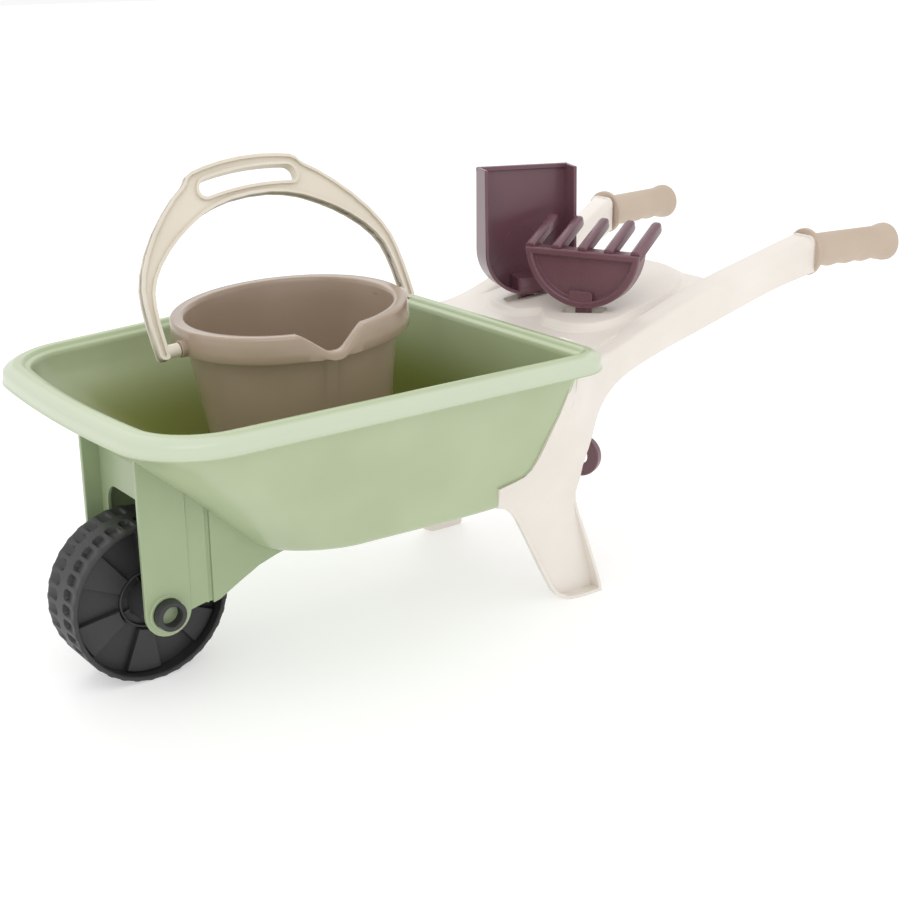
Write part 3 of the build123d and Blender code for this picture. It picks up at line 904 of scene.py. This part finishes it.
def wheel_disc(bm):
    """The near side's recessed disc with its sectors, hub ring, ribs, spacer and hollow stub axle."""
    core, stub_end, shoulder_end = 12.0, 59.0, 45.6
    edge = wheel_radius - 4.4
    profile = [
        (edge, -core), (23.6, -core), (23.6, -core - 3.4), (22.9, -core - 4.0), (22.1, -core - 4.0),
        (21.4, -core - 3.4),
        (21.4, -core), (16.0, -core), (16.0, -shoulder_end), (12.0, -shoulder_end), (12.0, -stub_end + 0.8),
        (11.2, -stub_end), (8.8, -stub_end), (8.0, -stub_end + 0.8), (8.0, -10.0), (0.0, -10.0),
    ]
    turned(bm, profile, Vector((0, 1, 0)), Vector((0, 0, axle_level)), 60)
    for index in range(6):
        start = radians(60 * index + 8)
        inner, outer, span = 24.2, edge - 0.6, radians(29)
        sweep = [start + span * k / 8 for k in range(9)]
        face = [(inner * cos(a), inner * sin(a)) for a in sweep] + [
            (outer * cos(a), outer * sin(a))
            for a in reversed(sweep)
        ]
        middle = start + span / 2
        centre = Vector((cos(middle), sin(middle))) * 44
        rings = []
        for shrink, y in ((1.0, -core + 0.5), (0.985, -core - 4.2), (0.95, -core - 5.0)):
            rings.append(
                [
                    Vector((mix(centre.x, x, shrink), y, axle_level + mix(centre.y, z, shrink)))
                    for x, z in face
                ]
            )
        skin(bm, rings)
    for index in range(4):
        a = radians(90 * index + 20)
        along = Vector((cos(a), 0, sin(a)))
        across = Vector((-sin(a), 0, cos(a))) * 0.8
        hub = Vector((0, 0, axle_level))
        rings = []
        for reach in (15.5, 22.0):
            base = hub + along * reach
            rings.append([base - across + Vector((0, y, 0)) for y in (-core + 0.5, -core - 3.0)]
                         + [base + across + Vector((0, y, 0)) for y in (-core - 3.0, -core + 0.5)])
        skin(bm, rings)


def make_wheel():
    bm = bmesh.new()
    tyre(bm)
    finish_piece(
        "wheel_tyre", bm, wheel_black, "wheel", ["wheel_half_near", "wheel_half_far"],
        edge=0, sharp=32
    )
    bm = bmesh.new()
    wheel_disc(bm)
    mirrored_copy(bm)
    finish_piece(
        "wheel_disc", bm, wheel_black, "wheel", ["wheel_half_near", "wheel_half_far"],
        edge=0.3, sharp=40
    )


# ---- grips ---------------------------------------------------------------
def make_grip(name, node, side):
    """A hand grip with finger scallops underneath, flange first."""
    length, body_radius, end_radius, flange_radius = 100.0, 15.2, 17.0, 21.0
    profile = [
        (10.7, 0.0), (flange_radius - 0.8, 0.0), (flange_radius, 0.8), (flange_radius, 3.2),
        (flange_radius - 0.8, 4.0),
    ]
    profile += [(body_radius + 1.2, 4.0), (body_radius + 0.3, 4.8)]
    profile += [(body_radius, 6 + k * 2.5) for k in range(32)]
    profile += [(body_radius + 0.7, 88.0), (end_radius - 0.3, 91.5), (end_radius, 94.5), (end_radius, 97.0)]
    profile += [
        (end_radius - 0.7, 98.9), (end_radius - 2.4, 99.8), (end_radius - 5, length), (4.0, length),
        (0.0, length),
    ]
    bm = bmesh.new()
    verts = turned(bm, profile, Vector((1, 0, 0)), Vector((0, 0, 0)), 40)
    for vert in verts:
        reach = hypot(vert.co.y, vert.co.z)
        if 6 < vert.co.x < 88 and reach > 1:
            under = max(0.0, -vert.co.z / reach) ** 1.5
            wave = 0.5 - 0.5 * cos(2 * pi * (vert.co.x - 7) / 20.0)
            scale = 1 - 0.10 * wave * under * smooth(6, 12, vert.co.x) * smooth(88, 82, vert.co.x)
            vert.co.y *= mix(1, scale, 0.4)
            vert.co.z *= scale
    finish_piece(name, bm, grip_tan, "barrow", [node], edge=0, sharp=40, place=grip_place(side))


# ---- bucket --------------------------------------------------------------
tilt = atan(floor_slope)
bucket_height, bucket_x = 172.8, 146.0
base_x = bucket_x + bucket_height * sin(tilt)
base_z = floor_level + floor_slope * base_x + (wall + 0.4) / cos(tilt)
bucket_place = Matrix.Translation((base_x, 0, base_z)) @ Matrix.Rotation(-tilt, 4, "Y")
pivot_level = bucket_height - 14.0
bail_lean = radians(25.5)


def make_bucket():
    rim, neck, base, band = 95.0, 84.0, 65.0, 20.0
    bottom = bucket_height - band
    profile = [
        (0.0, 2.4), (0.0, 0.6), (base - 9, 0.6), (base - 7, 0.0), (base - 2.2, 0.0),
        (base - 0.6, 0.7), (base, 2.2),
        (base + 4.6, 38), (base + 9.2, 76), (base + 13.9, 114), (neck - 0.2, bottom - 1),
        (neck, bucket_height - 5.4),
        (rim - 3.2, bucket_height - 5.4), (rim - 2.6, bottom), (rim - 0.4, bottom), (rim, bottom + 0.5),
        (rim - 0.2, bottom + 7), (rim - 0.5, bottom + 13), (rim - 0.9, bucket_height - 2.2), (
            rim - 1.5, bucket_height - 0.8,
        ),
        (rim - 2.8, bucket_height), (rim - 6.6, bucket_height), (rim - 10.2, bucket_height - 0.2),
        (rim - 11.6, bucket_height - 1.2), (rim - 12.4, bucket_height - 4), (neck - 3.0, bottom),
        (base + 11.4, 114), (base + 6.7, 76), (base + 2.1, 38), (base - 2.5, 6), (base - 4.2, 3.2),
        (base - 7, 2.4),
    ]
    profile.append((0.0, 2.4))
    bm = bmesh.new()
    verts = turned(bm, profile, Vector((0, 0, 1)), Vector((0, 0, 0)), 180)
    spout = radians(-100.0)
    half, drop = 26.0, 15.5
    aim = Vector((cos(spout), sin(spout)))
    cross = Vector((-aim.y, aim.x))
    for vert in verts:
        flat = Vector((vert.co.x, vert.co.y))
        if flat.dot(aim) < 60 or vert.co.z < bottom - 26:
            continue
        along = abs(flat.dot(cross))
        notch = 1 - smooth(0, 1, along / half) if along < half else 0.0
        notch = mix(notch, min(1.0, 1.25 * max(0.0, 1 - along / half)), 0.7)
        up = smooth(bottom - 26, bucket_height, vert.co.z)
        vert.co.z -= drop * notch * smooth(bottom - 2, bucket_height - 4, vert.co.z)
        push = 3.4 * notch * up
        vert.co.x += aim.x * push
        vert.co.y += aim.y * push
    for side in (-1, 1):
        boss = [
            (neck - 2, 0.0), (neck - 2, 6.7), (98.4, 6.7), (99.0, 6.1), (99.0, 4.1), (95.0, 4.1),
            (95.0, 0.0),
        ]
        spun = [(out, side * along) for along, out in boss]
        turned(bm, spun, Vector((1, 0, 0)), Vector((0, 0, pivot_level)), 32)
    finish_piece(
        "bucket_pail", bm, bucket_taupe, "bucket", ["bucket"], edge=0, sharp=42,
        place=bucket_place,
    )


# ---- bucket handle -------------------------------------------------------
def bail_outer():
    """The handle's outer line from one foot over the top to the other."""
    half = [
        (-113.4, -6), (-115.8, -5.2), (-117.2, -3), (-117.4, 10), (-117.2, 24), (-116.2, 38),
        (-114.2, 50),
    ]
    half += [
        (-109.6, 62), (-101.5, 76), (-90, 91), (-77, 104.5), (-65, 115), (-55.5, 121.5), (-52, 124.6),
        (-49, 129),
    ]
    half += [(-44.5, 131.6), (-33, 134), (-18, 136), (0, 136.8)]
    return half + [(-x, z) for x, z in reversed(half[:-1])]


def bail_inner():
    """The handle's inner line, station by station with the outer one."""
    half = [
        (-111.2, -6), (-109.8, -5.2), (-109.2, -3), (-109, 9), (-108.6, 22), (-107.4, 34),
        (-105.2, 44.5),
    ]
    half += [
        (-100.6, 54), (-93, 64), (-82.5, 74), (-72, 82), (-62.5, 88), (-54.5, 92.4), (-51, 94.2),
        (-47, 96.2),
    ]
    half += [(-42, 98.2), (-32, 101.4), (-18, 104.2), (0, 105.2)]
    return half + [(-x, z) for x, z in reversed(half[:-1])]


def inwards(line, other, by):
    """A line moved towards the other one, station by station."""
    moved = []
    for here, there in zip(line, other):
        here, there = Vector(here), Vector(there)
        reach = min(by, (there - here).length * 0.4)
        moved.append(here + (there - here).normalized() * reach)
    return moved


def slot_line(grow_by):
    """The hand slot's outline, gently arched with the top."""
    half, low, high = 44.0 + grow_by, 111.8 - grow_by, 125.6 + grow_by
    line = rounded(
        [(-half, low), (half, low), (half, high), (-half, high)], [6.8 + grow_by] * 4, 7, between=9,
    )
    return [(p.x + 1.5, p.y - 4.2 * (p.x / 44.0) ** 2 + 1.2) for p in line]


def make_bail():
    depth, rib = 4.9, 2.6
    outer, inner = bail_outer(), bail_inner()
    web = bmesh.new()
    skin(web, [[Vector((x, y, z)) for x, z in outer + inner[::-1]] for y in (-2.2, 2.2)])
    slot = bmesh.new()
    side_plate(slot, slot_line(1.0), -20, 20)
    bm = cut_away(web, [slot])
    edge = [Vector(p) for p in outer + inner[::-1]]
    inset = inwards(outer, inner, rib) + inwards(inner, outer, rib)[::-1]
    for place in inset:
        place.y = max(place.y, rib - 6.0)
    skin(bm, [
        [Vector((p.x, y, p.y)) for p in line]
        for line, y in ((edge, -depth), (edge, depth), (inset, depth), (inset, -depth))
    ], joined=True)
    rails = [
        [Vector((x, y, z)) for x, z in slot_line(g)]
        for g, y in ((0, -depth), (2.4, -depth), (2.4, depth), (0, depth))
    ]
    skin(bm, rails, joined=True)
    for side in (-1, 1):
        pin(bm, Vector((side * 99.6, 0, 0)), Vector((side * 110.4, 0, 0)), 5.4, 28)
        pin(bm, Vector((side * 95.6, 0, 0)), Vector((side * 106, 0, 0)), 3.95, 24)
    lean = Matrix.Rotation(-bail_lean, 4, "X")
    place = bucket_place @ Matrix.Translation((0, 0, pivot_level)) @ lean
    finish_piece(
        "bail_arch", bm, bail_cream, "bail", ["bucket_handle"], edge=0.7, sharp=40,
        place=place,
    )


# ---- tools ---------------------------------------------------------------
tool_level = deck_level + 3.2


def tool_place(side, turn):
    """From a tool's own frame to its place in the deck, turned about its shaft."""
    spot = Matrix.Translation((deck_hole_x, side * deck_hole_y, tool_level))
    return spot @ Matrix.Rotation(turn, 4, "Z")


def tool_shaft(bm, top):
    """The shaft through the deck, and its ring for hanging up."""
    width, depth, drop = 6.5, 4.5, -138.0
    outline = rounded([(-width, -depth), (width, -depth), (width, depth), (-width, depth)], [1.5] * 4, 3)
    skin(bm, [[Vector((p.x, p.y, z)) for p in outline] for z in (drop + 14, top)])
    rings = []
    for radius, y in (
        (8.0, -depth + 1), (9.0, -depth), (18.0, -depth), (19.0, -depth + 1), (19.0, depth - 1),
        (18.0, depth), (9.0, depth), (8.0, depth - 1),
    ):
        rings.append([
            Vector((radius * cos(radians(a)), y, drop + radius * sin(radians(a)))) for a in range(0, 360, 9)
        ])
    skin(bm, rings, joined=True)


def make_shovel():
    half, high, depth = 43.5, 113.5, 14.5
    bm = bmesh.new()
    corner = half - 4

    def scoop(inset):
        return arc_line(
            [(-half + inset, high), (-half + inset, inset), (half - inset, inset), (half - inset, high)],
            [corner - inset, corner - inset], 12,
        )

    def wall_front(z):
        return mix(-depth, -depth + 3, smooth(high - 14, high, z))

    outer, inner = scoop(0), scoop(3.0)
    rings = []
    for a, b in zip(outer, inner):
        rings.append([
            Vector((a.x, wall_front(a.y), a.y)), Vector((b.x, wall_front(b.y), b.y)),
            Vector((b.x, depth, b.y)), Vector((a.x, depth, a.y)),
        ])
    skin(bm, rings)
    back = scoop(0.5)
    skin(bm, [[Vector((p.x, y, p.y)) for p in back] for y in (depth - 3, depth)])
    lip = rounded([(-half, high - 4), (half, high - 4), (half, high), (-half, high)], [0, 0, 1, 1], 2)
    skin(bm, [[Vector((p.x, y, p.y)) for p in lip] for y in (depth - 5, depth)])
    socket = rounded([(-12, -depth), (12, -depth), (12, depth), (-12, depth)], [3, 3, 0, 0], 4)
    skin(bm, [[Vector((p.x, p.y, z)) for p in socket] for z in (0.6, 15)])
    tool_shaft(bm, 4.0)
    finish_piece(
        "shovel_scoop", bm, tool_plum, "shovel", ["shovel"], edge=0.9, sharp=40,
        place=tool_place(1, shovel_turn),
    )


def make_rake():
    radius, depth = 54.0, 8.5
    top = radius + 6
    bm = bmesh.new()

    def plate(inset):
        r = radius - inset
        high = top - 9.4 - inset
        stop = asin((high - radius) / r)
        arc = [
            (r * cos(a), radius + r * sin(a))
            for a in (mix(stop, -pi - stop, k / 48) for k in range(49))
        ]
        return arc

    rings = [
        (7.0, -depth + 5), (6.0, -depth + 1.0), (5.0, -depth), (1.0, -depth), (0.0, -depth + 1.0),
        (0.0, depth - 1), (1.0, depth),
    ]
    skin(bm, [[Vector((x, y, z)) for x, z in plate(inset)] for inset, y in rings])
    wide, length = 4.5, 38.0
    pitch = (2 * radius - 2 * wide) / 4
    for index in range(5):
        x = -radius + wide + index * pitch
        section = rounded(
            [(x - wide, -10), (x + wide, -10), (x + wide, 0), (x - wide, 0)], [1.4, 1.4, 3.0, 3.0], 5,
        )
        middle = Vector((x, -5.0))
        stops = [
            (-17.4, 0.9), (-16.8, 1.0), (length - 6, 1.0), (length - 2.5, 0.9), (length - 0.8, 0.68),
            (length, 0.4),
        ]
        turn = Matrix.Translation((0, depth, top)) @ Matrix.Rotation(radians(20), 4, "X")
        skin(bm, [
            [turn @ Vector((mix(middle.x, p.x, s), y, mix(middle.y, p.y, s))) for p in section] for y, s in stops
        ])
    latch = rounded([(-11, 1), (11, 1), (11, 15), (-11, 15)], [3, 3, 3, 3], 4)
    side_plate(bm, [(p.x, p.y) for p in latch], -depth + 0.2, depth)
    tool_shaft(bm, 5.0)
    finish_piece(
        "rake_head", bm, tool_plum, "rake", ["rake"], edge=0.5, sharp=40,
        place=tool_place(-1, rake_turn),
    )


make_tray()
make_frame()
make_wheel()
make_grip("grip_near_hand", "grip_near", -1)
make_grip("grip_far_hand", "grip_far", 1)
make_bucket()
make_bail()
make_shovel()
make_rake()


# ---- floor, light and camera ---------------------------------------------
def make_floor():
    bm = bmesh.new()
    bmesh.ops.create_grid(bm, x_segments=1, y_segments=1, size=12.0)
    mesh = bpy.data.meshes.new("floor")
    bm.to_mesh(mesh)
    bm.free()
    floor = bpy.data.objects.new("floor", mesh)
    bpy.context.scene.collection.objects.link(floor)
    paper = bpy.data.materials.new("floor_paper")
    paper.use_nodes = True
    shader = paper.node_tree.nodes["Principled BSDF"]
    shader.inputs["Base Color"].default_value = (0.64, 0.64, 0.64, 1)
    shader.inputs["Roughness"].default_value = 0.6
    shader.inputs["Specular IOR Level"].default_value = 0.2
    shader.inputs["Emission Color"].default_value = (1.0, 1.0, 1.0, 1)
    shader.inputs["Emission Strength"].default_value = 0.43
    mesh.materials.append(paper)


def soft_light(name, place, aim, width, power):
    """A large soft lamp that looks at a point."""
    lamp = bpy.data.lights.new(name, "AREA")
    lamp.shape = "SQUARE"
    lamp.size = width
    lamp.energy = power
    obj = bpy.data.objects.new(name, lamp)
    bpy.context.scene.collection.objects.link(obj)
    obj.location = place
    obj.rotation_euler = (Vector(aim) - Vector(place)).to_track_quat("-Z", "Y").to_euler()


def make_camera():
    """The camera's place, its aim down over the tray and its lens."""
    lens = bpy.data.cameras.new("camera")
    camera = bpy.data.objects.new("camera", lens)
    bpy.context.scene.collection.objects.link(camera)
    yaw, pitch, roll = 0.637, 0.325, -0.008
    ahead = Vector((cos(pitch) * sin(yaw), cos(pitch) * cos(yaw), -sin(pitch)))
    right = Vector((cos(yaw), -sin(yaw), 0))
    up = right.cross(ahead)
    side = right * cos(roll) + up * sin(roll)
    top = up * cos(roll) - right * sin(roll)
    turn = Matrix((side, top, -ahead)).transposed().to_4x4()
    place = Vector((-0.459 + axle_x, -1.031, 0.5517))
    camera.matrix_world = Matrix.Translation(place) @ turn
    lens.sensor_width = 36.0
    lens.lens = 61.34
    lens.clip_start = 0.01
    bpy.context.scene.camera = camera


make_floor()
soft_light("key", (-1.2, -0.9, 2.1), (0, 0, 0.15), 1.6, 10)
soft_light("fill", (1.6, -1.8, 1.3), (0, 0, 0.15), 1.8, 3)
soft_light("back", (0.4, 1.9, 1.9), (0, 0, 0.2), 1.6, 8)
make_camera()

world = bpy.data.worlds.new("studio")
world.use_nodes = True
world.node_tree.nodes["Background"].inputs["Color"].default_value = (1.0, 1.0, 1.0, 1)
world.node_tree.nodes["Background"].inputs["Strength"].default_value = 0.95
bpy.context.scene.world = world
bpy.context.scene.view_settings.view_transform = "Standard"
